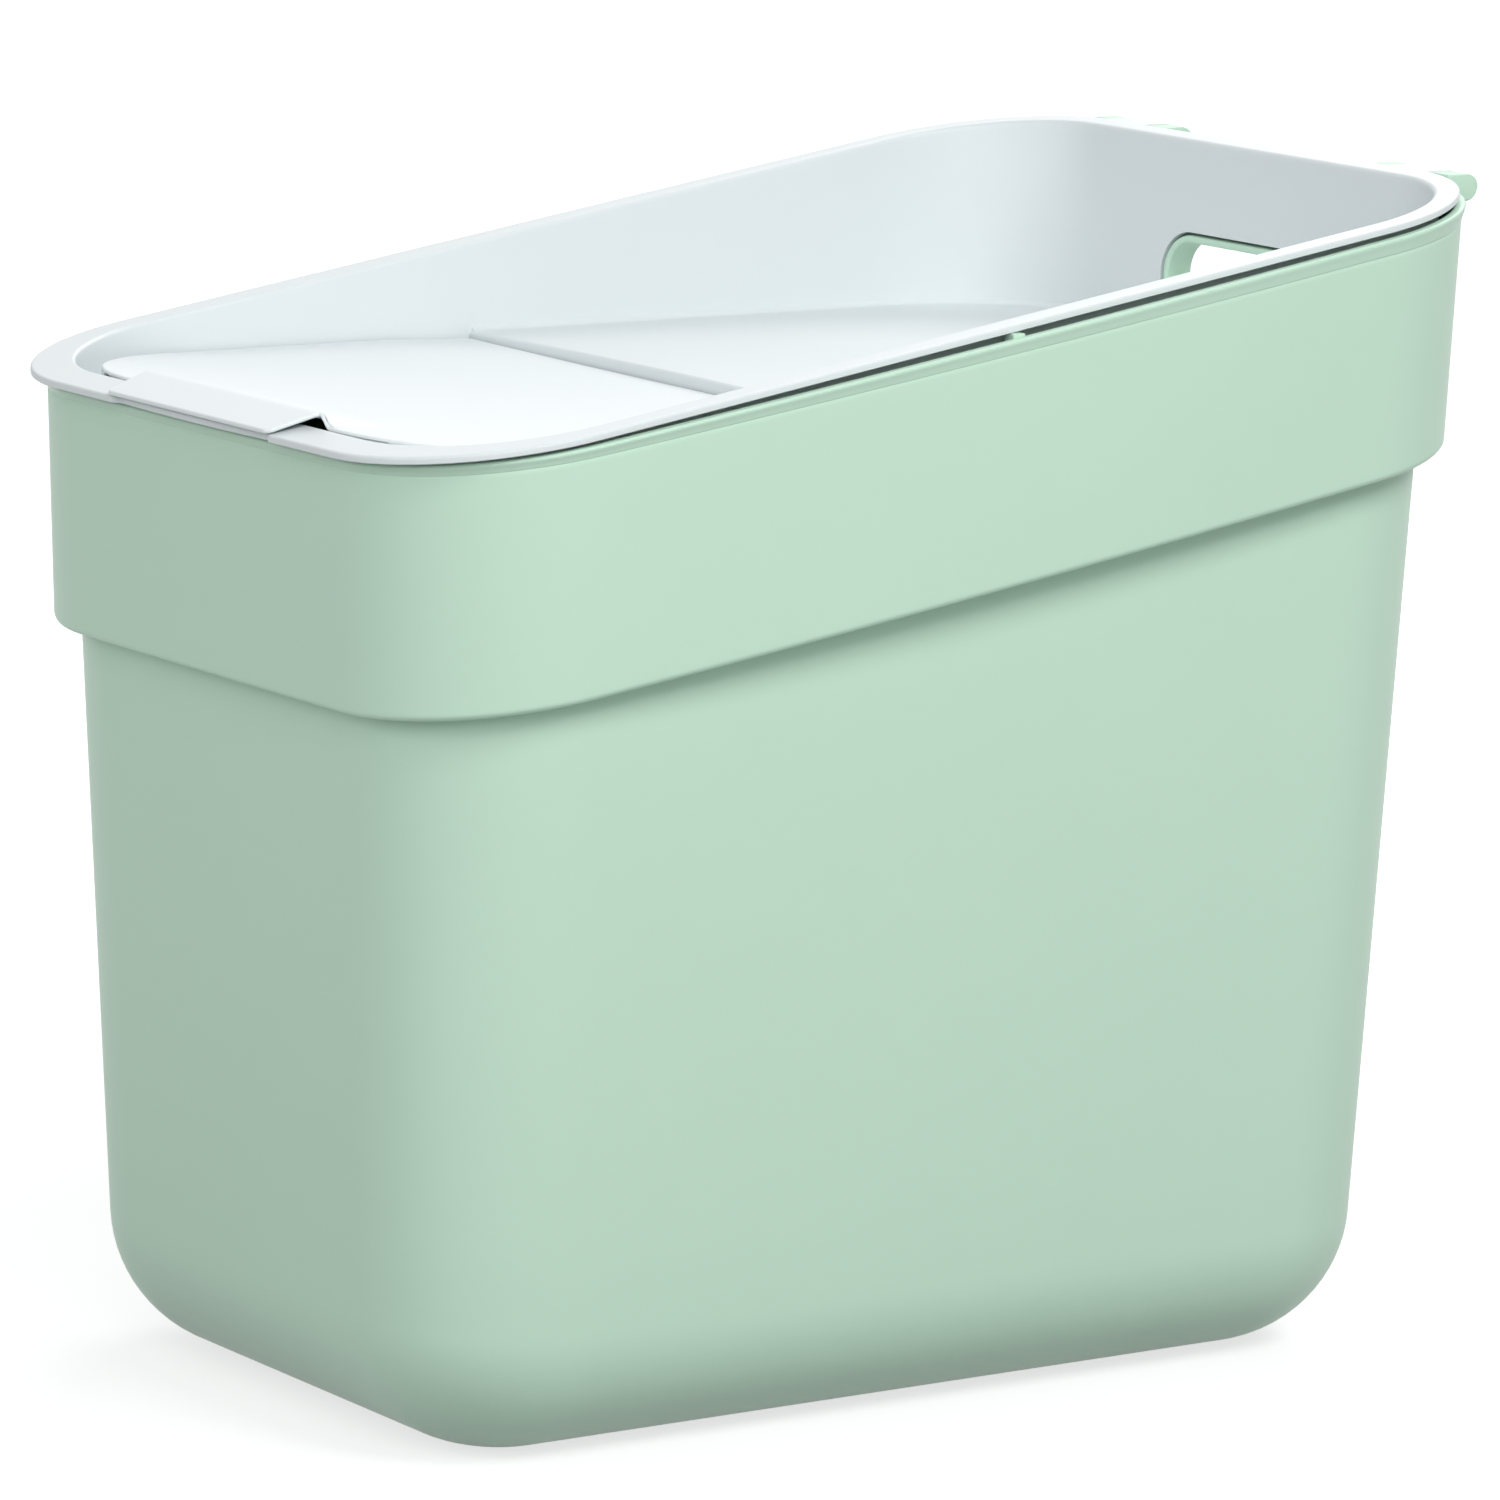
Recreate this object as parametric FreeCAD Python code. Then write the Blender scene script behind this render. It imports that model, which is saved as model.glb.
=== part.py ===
import FreeCAD, Part
import math
import os

# Kitchen recycling bin: a drafted tub with a stepped collar, a sloping rim with a hinged lid frame
# over it, and a front flap hinged inside the frame. Lengths in mm, angles in degrees.
# +Z is up, the low front end with the lift tab faces -Y, the origin is the centre of the base.

# Tub
base_length = 330.0
base_width = 210.0
base_edge_radius = 41.0
body_corner_radius = 45.0
front_draft = 2.5
rear_draft = 1.9
side_draft = 2.1
wall = 2.2

# Height of the flange's top at its low front end and at its high rear end
front_height = 283.0
rear_height = 342.0

# Collar that steps out under the sloping rim, and the bead along its top
collar_depth = 73.3
collar_side_step = 12.5
collar_front_step = 6.8
collar_rear_step = 6.2
collar_side_draft = 2.6
collar_front_draft = 0.9
collar_rear_draft = 0.7
collar_corner_radius = 52.0
collar_side_bow = 6.1
collar_end_bow = 0.5
collar_edge_radius = 2.0
bead_height = 4.1
bead_proud = 1.0
bead_radius = 0.8

# Flange of the lid frame, set against the collar's outside at the height of the rim
flange_front_overhang = 4.4
flange_rear_setback = 0.5
flange_side_setback = 4.0
flange_corner_radius = 52.0
flange_thickness = 2.0
flange_side_bow = 0.8
flange_end_bow = 0.5
flange_edge_radius = 0.7
rim_clearance = 1.35

# Pads inside the tub's rim that the flange rests on, one in the middle of each side
pad_width = 4.0
pad_overlap = 2.5
pad_depth = 8.0
pad_gap = 0.1

# Hand slot through the rear wall
slot_length = 74.0
slot_height = 26.0
slot_drop = 28.5
slot_rim_thickness = 2.2
slot_lip = 2.0
slot_lip_radius = 0.9
slot_clearance = 1.0

# Rear hinges of the lid frame
hinge_setback = 8.7
hinge_drop = 4.0
hinge_spacing = 136.0
tongue_width = 18.0
tongue_plate = 2.4
ear_thickness = 8.0
ear_radius = 4.3
ear_gap = 1.0
barrel_radius = 4.0
pin_radius = 1.9
pin_clearance = 0.08
pin_end_cover = 1.5
hinge_side_gap = 0.4

# Well of the lid frame
ring_side_width = 7.2
ring_front_width = 11.1
ring_rear_width = 6.6
well_corner_radius = 45.0
well_wall = 1.9
well_draft = 1.2
well_edge_radius = 1.2
deck_drop = 0.1
deck_crown = 1.5
deck_thickness = 2.2
riser_from_rear_wall = 196.0
ledge_drop = 5.6
ledge_width = 9.0
ledge_thickness = 2.0

# Front flap, its hinge and its lift tab
flap_rear_drop = 1.8
flap_front_rise = 0.5
flap_side_gap = 1.0
flap_front_gap = 1.0
flap_corner_radius = 61.0
flap_wall = 1.8
flap_edge_radius = 0.8
flap_rest_gap = 0.4
nose_radius = 3.0
nose_gap = 0.5
stub_radius = 1.5
stub_length = 4.0
lug_thickness = 5.0
tab_width = 92.0
tab_overhang = 1.0
tab_thickness = 1.5
tab_clearance = 0.5
tab_crest_rise = 3.8
tab_ramp = 24.0
tab_lip_width = 86.0
notch_depth = 2.6
notch_clearance = 0.8

# Every cut runs past the solid that it cuts by this much
overrun = 10.0


def grow(draft, height):
    """How far a wall with this draft leans out over this height."""
    return math.tan(math.radians(draft)) * height


def body_plan(z):
    """Half width, front and rear of the tub's body at height z."""
    side = base_width / 2 + grow(side_draft, z)
    return side, -base_length / 2 - grow(front_draft, z), base_length / 2 + grow(rear_draft, z)


middle_height = (front_height + rear_height) / 2
collar_side_foot = body_plan(middle_height - collar_depth)[0] + collar_side_step
collar_front_foot = body_plan(front_height - collar_depth)[1] - collar_front_step
collar_rear_foot = body_plan(rear_height - collar_depth)[2] + collar_rear_step


def collar_plan(z):
    """Half width, front and rear of the collar at height z, each wall leaning out from its own foot."""
    side = collar_side_foot + grow(collar_side_draft, z - middle_height + collar_depth)
    front = collar_front_foot - grow(collar_front_draft, z - front_height + collar_depth)
    rear = collar_rear_foot + grow(collar_rear_draft, z - rear_height + collar_depth)
    return side, front, rear


def bead_plan(z):
    side, front, rear = collar_plan(z)
    return side + bead_proud, front - bead_proud, rear + bead_proud


flange_half = collar_plan(middle_height)[0] - flange_side_setback
flange_front_y = collar_plan(front_height)[1] - flange_front_overhang
flange_rear_y = collar_plan(rear_height)[2] - flange_rear_setback
flange_length = flange_rear_y - flange_front_y
slope = (rear_height - front_height) / flange_length
well_half = flange_half - ring_side_width
well_front = flange_front_y + ring_front_width
well_rear = flange_rear_y - ring_rear_width


def rim_level(y):
    """Height of the top of the flange above the place y."""
    return front_height + slope * (y - flange_front_y)


def well_plan(z):
    """Half width, front and rear of the inside of the lid frame's well at height z."""
    lean = grow(well_draft, rear_height - z)
    return well_half - lean, well_front + lean, well_rear - lean


rim_top = -flange_thickness - rim_clearance
hinge_y = flange_rear_y + hinge_setback
hinge_z = rear_height - hinge_drop
slot_z = rim_level(well_rear) - slot_drop - slot_height / 2
deck_height = front_height - deck_drop
ledge_height = front_height - ledge_drop
ledge_bottom = ledge_height - ledge_thickness
riser_y = well_rear - riser_from_rear_wall
flap_axis_y = riser_y - nose_gap - nose_radius
flap_rear_height = front_height - flap_rear_drop
flap_axis_z = flap_rear_height - nose_radius
flap_side = well_plan(flap_axis_z)[0] - flap_side_gap
flap_front = well_plan(front_height)[1] + flap_front_gap
flap_front_height = rim_level(well_front) + flap_front_rise
lug_inner = flap_side + flap_side_gap - lug_thickness


def point(x, y, z):
    return FreeCAD.Vector(x, y, z)


def corner_circle(half_x, half_y, radius, side_bow, end_bow):
    """Centre of the corner arc and its tangent points on a crowned side and a crowned end.

    The side is an arc of radius (half_y^2 + bow^2) / (2 bow), the end likewise with half_x, and
    the corner circle touches both from the inside, so its centre is where two circles meet.
    """
    if side_bow == 0:
        centre = (half_x - radius, half_y - radius)
        return centre, (half_x, centre[1]), (centre[0], half_y)
    side_radius = (half_y ** 2 + side_bow ** 2) / (2 * side_bow)
    end_radius = (half_x ** 2 + end_bow ** 2) / (2 * end_bow)
    side_x = half_x - side_radius
    end_y = half_y - end_radius
    reach_side = side_radius - radius
    reach_end = end_radius - radius
    span = math.hypot(side_x, end_y)
    along = (reach_side ** 2 - reach_end ** 2 + span ** 2) / (2 * span)
    across = math.sqrt(reach_side ** 2 - along ** 2)
    to_end = (-side_x / span, end_y / span)
    centre = (side_x + along * to_end[0] - across * to_end[1], along * to_end[1] + across * to_end[0])
    side_share = side_radius / reach_side
    end_share = end_radius / reach_end
    on_side = (side_x + (centre[0] - side_x) * side_share, centre[1] * side_share)
    on_end = (centre[0] * end_share, end_y + (centre[1] - end_y) * end_share)
    return centre, on_side, on_end


def outline(plan, radius, z, side_bow=0, end_bow=0):
    """Rounded oblong at height z from a half width, a front and a rear, with crowned or straight sides."""
    half_x, front, rear = plan
    middle = (front + rear) / 2
    half_y = (rear - front) / 2
    centre, on_side, on_end = corner_circle(half_x, half_y, radius, side_bow, end_bow)
    lean_x = on_side[0] + on_end[0] - 2 * centre[0]
    lean_y = on_side[1] + on_end[1] - 2 * centre[1]
    lean = math.hypot(lean_x, lean_y)
    on_corner = (centre[0] + radius * lean_x / lean, centre[1] + radius * lean_y / lean)

    def place(pair, sign_x, sign_y):
        return point(sign_x * pair[0], middle + sign_y * pair[1], z)

    def run(start, crest, end, bow):
        if bow == 0:
            return Part.LineSegment(start, end).toShape()
        return Part.Arc(start, crest, end).toShape()

    edges = []
    for sign_x, sign_y in ((1, 1), (-1, 1), (-1, -1), (1, -1)):
        corner = [place(spot, sign_x, sign_y) for spot in (on_side, on_corner, on_end)]
        if sign_x * sign_y > 0:
            following = place(on_end, -sign_x, sign_y)
            crest = point(0, middle + sign_y * half_y, z)
            edges.append(Part.Arc(*corner).toShape())
            edges.append(run(corner[2], crest, following, end_bow))
        else:
            following = place(on_side, sign_x, -sign_y)
            crest = point(sign_x * half_x, middle, z)
            edges.append(Part.Arc(*reversed(corner)).toShape())
            edges.append(run(corner[0], crest, following, side_bow))
    return Part.Wire(edges)


def inset_plan(plan, inset):
    side, front, rear = plan
    return side - inset, front + inset, rear - inset


def wall_loft(plan_at, low, high, inset, radius, side_bow=0, end_bow=0):
    """Solid between two heights inside the walls that plan_at gives, less an inset."""
    wires = []
    for z in (low, high):
        wires.append(outline(inset_plan(plan_at(z), inset), radius - inset, z, side_bow, end_bow))
    return Part.makeLoft(wires, True, True)


def slab(low, high):
    """Everything between two planes that run parallel to the rim, low and high over the flange top."""
    front = flange_front_y - overrun
    rear = hinge_y + ear_radius + overrun
    half_x = collar_plan(rear_height)[0] + bead_proud + overrun
    corners = []
    for y, rise in ((front, low), (rear, low), (rear, high), (front, high), (front, low)):
        corners.append(point(-half_x, y, rim_level(y) + rise))
    return Part.Face(Part.makePolygon(corners)).extrude(point(2 * half_x, 0, 0))


def box(x_range, y_range, z_range):
    """Block between pairs of coordinates."""
    size = [high - low for low, high in (x_range, y_range, z_range)]
    return Part.makeBox(*size, point(x_range[0], y_range[0], z_range[0]))


def rod(radius, start, end, y, z):
    """Cylinder along X."""
    return Part.makeCylinder(radius, end - start, point(start, y, z), point(1, 0, 0))


def prism(profile, half_x):
    """Side profile of (y, z) corners, as wide as twice half_x."""
    corners = [point(-half_x, y, z) for y, z in profile + profile[:1]]
    return Part.Face(Part.makePolygon(corners)).extrude(point(2 * half_x, 0, 0))


def stadium(length, height, start, end, centre_z):
    """Oblong with round ends, standing across the rear wall, from y = start to y = end."""
    radius = height / 2
    straight = length / 2 - radius
    top = centre_z + radius
    bottom = centre_z - radius
    edges = [
        Part.LineSegment(point(-straight, start, top), point(straight, start, top)).toShape(),
        Part.Arc(point(straight, start, top), point(straight + radius, start, centre_z),
                 point(straight, start, bottom)).toShape(),
        Part.LineSegment(point(straight, start, bottom), point(-straight, start, bottom)).toShape(),
        Part.Arc(point(-straight, start, bottom), point(-straight - radius, start, centre_z),
                 point(-straight, start, top)).toShape(),
    ]
    return Part.Face(Part.Wire(edges)).extrude(point(0, end - start, 0))


def rounded(shape, radius, test):
    """The shape with the edges that pass the test rounded off."""
    return shape.makeFillet(radius, [edge for edge in shape.Edges if test(edge)])


def follows_rim(level, edge):
    """Whether an edge lies in the plane at this level over the flange top."""
    heights = [spot.z - rim_level(spot.y) for spot in edge.discretize(5)]
    near = flange_edge_radius / 10
    return max(heights) < level + near and min(heights) > level - near


def inside_well(edge):
    """Whether all of an edge lies no further out than the well's own rim."""
    near = flange_edge_radius / 2
    for spot in edge.discretize(5):
        if abs(spot.x) > well_half + near or not well_front - near < spot.y < well_rear + near:
            return False
    return True


def tub_shell(low, inset):
    """The drafted body with its rounded base edge, closed solid."""
    blank = wall_loft(body_plan, low, rear_height + overrun, inset, body_corner_radius)
    return rounded(blank, base_edge_radius - inset,
                   lambda edge: edge.BoundBox.ZMax < low + base_edge_radius / 2)


def band(plan_at, bottom, top, inset):
    """Part of the collar between two planes parallel to the rim."""
    low = front_height - collar_depth - 2 * overrun
    loft = wall_loft(plan_at, low, rear_height + overrun, inset, collar_corner_radius, collar_side_bow,
                     collar_end_bow)
    return loft.common(slab(bottom, top))


def hinge_ears(sign):
    """X places of the two ears of the hinge on this side, each as its low and high end."""
    inner = hinge_spacing / 2 - tongue_width / 2 - hinge_side_gap
    outer = hinge_spacing / 2 + tongue_width / 2 + hinge_side_gap
    spans = []
    for near, far in ((inner, inner - ear_thickness), (outer, outer + ear_thickness)):
        spans.append(tuple(sorted((sign * near, sign * far))))
    return sorted(spans)


def ear(start, end):
    """Rounded lug behind the rear wall, clear of the flange, with the hinge axis in its middle."""
    wall_y = collar_plan(hinge_z)[2] - wall
    block = box((start, end), (wall_y, hinge_y), (hinge_z - ear_radius, hinge_z + ear_radius))
    flange_room = box((start, end), (wall_y, flange_rear_y + flange_end_bow + ear_gap),
                      (rim_level(wall_y) + rim_top, rear_height + overrun))
    return block.fuse(rod(ear_radius, start, end, hinge_y, hinge_z)).cut(flange_room)


def make_hinge_pin(sign):
    """Pin from one ear through the tongue into the other, short of the ears' outer faces."""
    low, high = hinge_ears(sign)
    return rod(pin_radius, low[0] + pin_end_cover, high[1] - pin_end_cover, hinge_y, hinge_z)


def rim_pad(sign):
    """Small pad on the inside of a side wall that holds the flange up."""
    outer = collar_plan(rim_level(0))[0] - wall / 2
    ends = sorted((sign * outer, sign * (flange_half - pad_overlap)))
    block = box(ends, (-pad_width / 2, pad_width / 2), (0, rear_height))
    return block.common(slab(-pad_depth, -flange_thickness - pad_gap))


def make_tub():
    body = tub_shell(0, 0).common(slab(-rear_height, rim_top))
    collar = rounded(band(collar_plan, -collar_depth, rim_top, 0), collar_edge_radius,
                     lambda edge: follows_rim(-collar_depth, edge))
    bead = rounded(band(bead_plan, rim_top - bead_height, rim_top, 0), bead_radius,
                   lambda edge: follows_rim(rim_top, edge) or follows_rim(rim_top - bead_height, edge))
    inside = tub_shell(wall, wall).common(slab(-rear_height, -collar_depth + wall + collar_edge_radius))
    recess = band(collar_plan, -collar_depth + wall, overrun, wall)
    tub = body.fuse([collar, bead]).cut(inside).cut(recess)
    back = collar_plan(slot_z)[2] + slot_lip
    face = well_plan(slot_z)[2]
    rim = rounded(stadium(slot_length, slot_height, face, back, slot_z), slot_lip_radius,
                  lambda edge: edge.BoundBox.YLength < slot_lip_radius)
    hole = stadium(slot_length - 2 * slot_rim_thickness, slot_height - 2 * slot_rim_thickness,
                   face - overrun, back + overrun, slot_z)
    tub = tub.fuse(rim).cut(hole)
    for sign in (-1, 1):
        ears = [ear(*span) for span in hinge_ears(sign)]
        tub = tub.fuse(ears + [rim_pad(sign)]).cut(make_hinge_pin(sign))
    return tub


def make_flange():
    """Flat crowned rim that follows the slope, notched at the front for the tab."""
    plan = (flange_half + flange_side_bow, flange_front_y - flange_end_bow, flange_rear_y + flange_end_bow)
    plate = Part.Face(outline(plan, flange_corner_radius, 0, flange_side_bow, flange_end_bow))
    plate = plate.extrude(point(0, 0, rear_height + overrun)).common(slab(-flange_thickness, 0))
    flange = rounded(plate, flange_edge_radius, lambda edge: follows_rim(0, edge))
    half = tab_width / 2 + notch_clearance
    return flange.cut(box((-half, half), (plan[1] - overrun, plan[1] + notch_depth), (0, rear_height)))


def make_deck():
    """Crowned rear floor of the well with the step down at its front edge."""
    low = deck_height - deck_thickness
    corners = [point(well_half, riser_y, deck_height), point(well_half, riser_y, low),
               point(-well_half, riser_y, low), point(-well_half, riser_y, deck_height)]
    crest = point(0, riser_y, deck_height + deck_crown)
    arc = Part.Arc(corners[3], crest, corners[0]).toShape()
    section = Part.Face(Part.Wire([arc] + Part.makePolygon(corners).Edges))
    deck = section.extrude(point(0, flange_length, 0))
    riser = box((-well_half, well_half), (riser_y, riser_y + deck_thickness), (ledge_bottom, deck_height))
    return deck.fuse(riser).common(wall_loft(well_plan, ledge_bottom, rear_height, -well_wall / 2,
                                             well_corner_radius))


def flap_lug(sign):
    """Rounded lug on a side wall under the deck's front edge, and the bore for the flap's stub."""
    wall_x = flap_side + flap_side_gap
    ends = sorted((sign * (wall_x + well_wall / 2), sign * lug_inner))
    lug = rod(nose_radius, *ends, flap_axis_y, flap_axis_z)
    foot = box(ends, (flap_axis_y - nose_radius, riser_y + deck_thickness), (ledge_bottom, flap_axis_z))
    mouth = sorted((sign * wall_x, sign * (lug_inner - overrun)))
    return lug.fuse(foot), rod(stub_radius + pin_clearance, *mouth, flap_axis_y, flap_axis_z)


def tongue(sign):
    """Plate and barrel that reach from the flange to a rear hinge, and the bore for its pin."""
    ends = sorted(sign * (hinge_spacing / 2 + side * tongue_width / 2) for side in (-1, 1))
    top = hinge_z + barrel_radius
    plate = box(ends, (flange_rear_y - ring_rear_width / 2, hinge_y), (top - tongue_plate, top))
    plate = plate.common(slab(-rear_height, 0))
    barrel = rod(barrel_radius, *ends, hinge_y, hinge_z)
    bore = rod(pin_radius + pin_clearance, ends[0] - overrun, ends[1] + overrun, hinge_y, hinge_z)
    return plate.fuse(barrel), bore


def make_lid_frame():
    shell = wall_loft(well_plan, ledge_bottom, rear_height + overrun, -well_wall, well_corner_radius)
    inside = wall_loft(well_plan, ledge_height, rear_height + overrun, 0, well_corner_radius)
    frame = make_flange().fuse(shell.common(slab(-rear_height, -flange_thickness / 2))).cut(inside)
    frame = rounded(frame, well_edge_radius, lambda edge: follows_rim(0, edge) and inside_well(edge))
    nose_front = flap_axis_y - nose_radius - nose_gap
    for shelf, start, end in ((ledge_width, well_front, nose_front), (0, nose_front, well_rear)):
        room = box((-well_half, well_half), (start, end), (0, ledge_height + overrun))
        mouth = wall_loft(well_plan, ledge_bottom - overrun, rear_height, shelf, well_corner_radius)
        frame = frame.cut(mouth.common(room))
    frame = frame.fuse(make_deck())
    for sign in (-1, 1):
        for addition, bore in (flap_lug(sign), tongue(sign)):
            frame = frame.fuse(addition).cut(bore)
    return frame.cut(stadium(slot_length + 2 * slot_clearance, slot_height + 2 * slot_clearance,
                             well_rear - overrun, flange_rear_y, slot_z))


def flap_block(inset):
    """Solid under the flap's sloping top with round front corners, grown inwards by the inset."""
    low = ledge_height + flap_rest_gap
    plan = (flap_side - inset, flap_front + inset, -flap_front)
    base = outline(plan, flap_corner_radius - inset, low - overrun * (inset > 0))
    rise = (flap_front_height - flap_rear_height) / (flap_axis_y - flap_front)
    front = flap_front - overrun
    wedge = prism([(front, 0), (flap_axis_y, 0), (flap_axis_y, flap_rear_height - inset),
                   (front, flap_rear_height - inset + rise * (flap_axis_y - front))], flap_side)
    return Part.Face(base).extrude(point(0, 0, rear_height)).common(wedge)


def make_tab():
    """Lift tab: a ramp up to a crest, then a lip that falls and narrows over the flange."""
    crest_z = rim_level(flap_front) + tab_crest_rise
    under_z = crest_z - tab_thickness
    notch_y = flange_front_y - flange_end_bow + notch_depth
    lip_y = flange_front_y - flange_end_bow - tab_overhang
    fall = (under_z - rim_level(notch_y) - tab_clearance) / (flap_front - notch_y)
    lip_z = under_z - fall * (flap_front - lip_y)
    root_y = flap_front + tab_ramp
    root_z = flap_front_height - flap_wall
    tab = prism([(lip_y, lip_z), (flap_front, under_z), (flap_front, root_z), (root_y, root_z),
                 (root_y, flap_front_height - flap_wall / 4), (flap_front, crest_z),
                 (lip_y, lip_z + tab_thickness)], tab_width / 2)
    corners = [point(tab_width / 2, root_y, 0), point(tab_width / 2, flap_front, 0),
               point(tab_lip_width / 2, lip_y, 0), point(-tab_lip_width / 2, lip_y, 0),
               point(-tab_width / 2, flap_front, 0), point(-tab_width / 2, root_y, 0)]
    plan = Part.Face(Part.makePolygon(corners + corners[:1]))
    return plan.extrude(point(0, 0, rear_height)).common(tab)


def make_front_flap():
    def is_top_edge(edge):
        bounds = edge.BoundBox
        return bounds.ZMin > flap_rear_height - flap_wall and bounds.YMin < flap_axis_y - nose_radius

    flap = rounded(flap_block(0), flap_edge_radius, is_top_edge).cut(flap_block(flap_wall))
    nose_end = lug_inner - flap_side_gap
    nose = rod(nose_radius, -nose_end, nose_end, flap_axis_y, flap_axis_z)
    lug_front = flap_axis_y - nose_radius - flap_side_gap
    for sign in (-1, 1):
        ends = sorted((sign * nose_end, sign * well_half))
        flap = flap.cut(box(ends, (lug_front, flap_axis_y + nose_radius), (0, rear_height)))
    stub_end = lug_inner + stub_length
    stubs = rod(stub_radius, -stub_end, stub_end, flap_axis_y, flap_axis_z)
    return flap.fuse([nose, stubs, make_tab()])


def save(shape, name):
    solid = shape.removeSplitter()
    print(name, "solids", len(solid.Solids), "valid", solid.isValid(), "volume", round(solid.Volume))
    solid.exportStep(os.path.join("parts", name + ".step"))


os.makedirs("parts", exist_ok=True)
print("hinge axis y, z", round(hinge_y, 2), round(hinge_z, 2), "flap axis y, z", round(flap_axis_y, 2),
      round(flap_axis_z, 2), "slot z", round(slot_z, 2), "flange", round(flange_length, 2))
save(make_tub(), "tub")
save(make_lid_frame(), "lid_frame")
save(make_front_flap(), "front_flap")
save(make_hinge_pin(-1), "hinge_pin_left")
save(make_hinge_pin(1), "hinge_pin_right")
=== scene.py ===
# %% [markdown]
# # A recycling bin with a sloping flap lid
# The real thing is three injection-moulded pieces and two hinge pins: a pale green tub, a white lid
# frame that hinges at the rear, and a white flap with a lift tab inside that frame. A moulded piece
# is one smooth skin with small round edges, so each one here is a surface worked out with numpy: a
# profile in the wall's thickness, carried round the rounded oblong that the bin has in plan.
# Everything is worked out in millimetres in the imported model's own frame, and turned into metres
# when the mesh is made.

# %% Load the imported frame
import math
import bmesh
import bpy
import numpy as np
from mathutils import Matrix, Vector


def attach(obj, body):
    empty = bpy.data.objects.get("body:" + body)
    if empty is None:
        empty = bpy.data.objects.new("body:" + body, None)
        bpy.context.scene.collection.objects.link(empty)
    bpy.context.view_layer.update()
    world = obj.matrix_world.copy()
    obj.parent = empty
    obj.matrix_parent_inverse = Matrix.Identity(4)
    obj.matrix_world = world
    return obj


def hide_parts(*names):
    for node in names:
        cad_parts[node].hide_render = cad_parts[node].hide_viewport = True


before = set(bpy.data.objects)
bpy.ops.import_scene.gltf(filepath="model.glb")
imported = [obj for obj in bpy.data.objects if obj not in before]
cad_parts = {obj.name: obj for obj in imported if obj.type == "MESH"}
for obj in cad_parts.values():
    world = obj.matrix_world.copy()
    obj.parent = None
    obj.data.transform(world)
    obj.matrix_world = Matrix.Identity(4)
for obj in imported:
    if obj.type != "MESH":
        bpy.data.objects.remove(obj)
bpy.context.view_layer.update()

# %% [markdown]
# ## The camera
# The photograph was taken from the front right, a little above the rim, with a long lens. The place
# and the turn of the camera come from fitting the bin's own edges. The picture was cropped off
# centre, so the lens is shifted instead of turned, which keeps upright edges as they are.

# %% Camera
AZIMUTH, ELEVATION, ROLL = (math.radians(a) for a in (55.5748, 11.0943, 1.3576))
back = Vector((math.sin(AZIMUTH) * math.cos(ELEVATION), -math.cos(AZIMUTH) * math.cos(ELEVATION),
               math.sin(ELEVATION)))
level_right = Vector((math.cos(AZIMUTH), math.sin(AZIMUTH), 0.0))
level_up = back.cross(level_right)
cam_right = math.cos(ROLL) * level_right + math.sin(ROLL) * level_up
cam_up = math.cos(ROLL) * level_up - math.sin(ROLL) * level_right
camera = bpy.data.objects.new("camera", bpy.data.cameras.new("camera"))
bpy.context.scene.collection.objects.link(camera)
turn = Matrix((cam_right, cam_up, back)).transposed().to_4x4()
camera.matrix_world = Matrix.Translation((1.93233, -1.3246, 0.59942)) @ turn
camera.data.sensor_width = 36.0
camera.data.lens = 198.405
camera.data.shift_x = 0.00563
camera.data.shift_y = 0.07823
camera.data.clip_end = 20.0
bpy.context.scene.camera = camera
print("camera lens", camera.data.lens, "shift", camera.data.shift_x, camera.data.shift_y)

# %% [markdown]
# ## The walls in plan
# Every horizontal cut through the bin is a rounded oblong. Its walls lean outwards a little, which
# is the draft that lets a moulding leave its mould, so the half width, the front and the rear grow
# with the height. The rim slopes: it is low at the front and high at the rear.

# %% Sizes of the bin in millimetres
FRONT_TOP, REAR_TOP = 283.0, 342.0
WALL = 2.2
BODY_CORNER, COLLAR_CORNER = 45.0, 52.0
WELL_CORNER, FLANGE_CORNER = 45.0, 52.0


def lean(degrees, rise):
    """Sideways growth of a drafted wall: the tangent of the draft angle times the height."""
    return math.tan(math.radians(degrees)) * rise


def body_plan(z):
    """Half width, front and rear of the tub's body: each starts at the base and leans outwards."""
    return 105.0 + lean(2.1, z), -165.0 - lean(2.5, z), 165.0 + lean(1.9, z)


def collar_plan(z):
    """Half width, front and rear of the collar, each wall leaning from its own foot."""
    return 126.27 + lean(2.6, z - 239.2), -180.96 - lean(0.9, z - 209.7), 180.11 + lean(0.7, z - 268.7)


FLANGE = (125.6, -186.51, 180.51)
SLOPE = (REAR_TOP - FRONT_TOP) / (FLANGE[2] - FLANGE[1])


def rim_level(y):
    """Height of the top of the flange: a straight line from the low front to the high rear."""
    return FRONT_TOP + SLOPE * (y - FLANGE[1])


def well_plan(z):
    """Half width, front and rear of the well inside the flange, which narrows towards its bottom."""
    inward = lean(1.2, REAR_TOP - z)
    return 118.4 - inward, -175.41 + inward, 173.91 - inward


def flange_plan(z):
    """Half width, front and rear of the flange: the same at every height."""
    return 126.4 + 0 * z, -187.01 + 0 * z, 181.01 + 0 * z


print("slope of the rim", round(math.degrees(math.atan(SLOPE)), 2), "degrees")

# %% [markdown]
# ## One curve for every cut
# A hand-drawn outline would have to be drawn again for each height. A formula is better: a quarter
# of the oblong is half a bowed side, a corner arc and half a bowed end, each a circular arc that
# meets the next without a kink. The other three quarters mirror it. All rings get the same number
# of points, so they join into a clean grid.

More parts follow.
